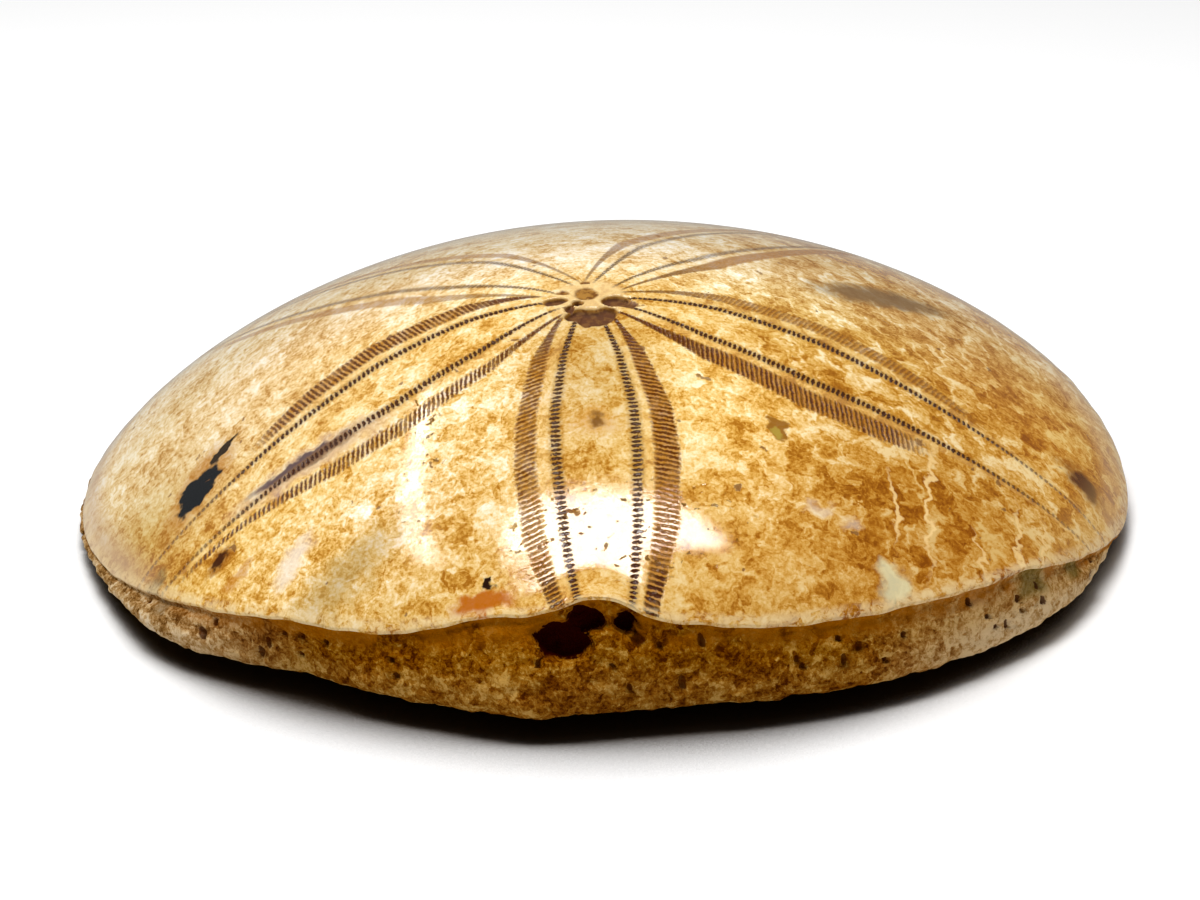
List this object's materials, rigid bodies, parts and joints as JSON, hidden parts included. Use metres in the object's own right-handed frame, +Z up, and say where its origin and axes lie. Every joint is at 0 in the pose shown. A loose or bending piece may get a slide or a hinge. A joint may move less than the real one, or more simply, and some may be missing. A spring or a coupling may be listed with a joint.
{
  "type": "polished fossil sea urchin",
  "caption": "Low domed fossil sea urchin, one stone, polished on top with a five-petal pore pattern and left rough below its wavy rim.",
  "frame": {"origin": "on the resting surface, under the middle of the bounding box", "axes": "+X across the stone's widest direction, +Y towards its back, away from the petal that faces the front, +Z up"},
  "size_m": [0.08, 0.0748, 0.0215],
  "materials": {
    "fossil_stone": "polished above the rim, rough below it"
  },
  "bodies": {
    "root": {"fossil_urchin": "fossil_stone"}
  },
  "joints": []
}
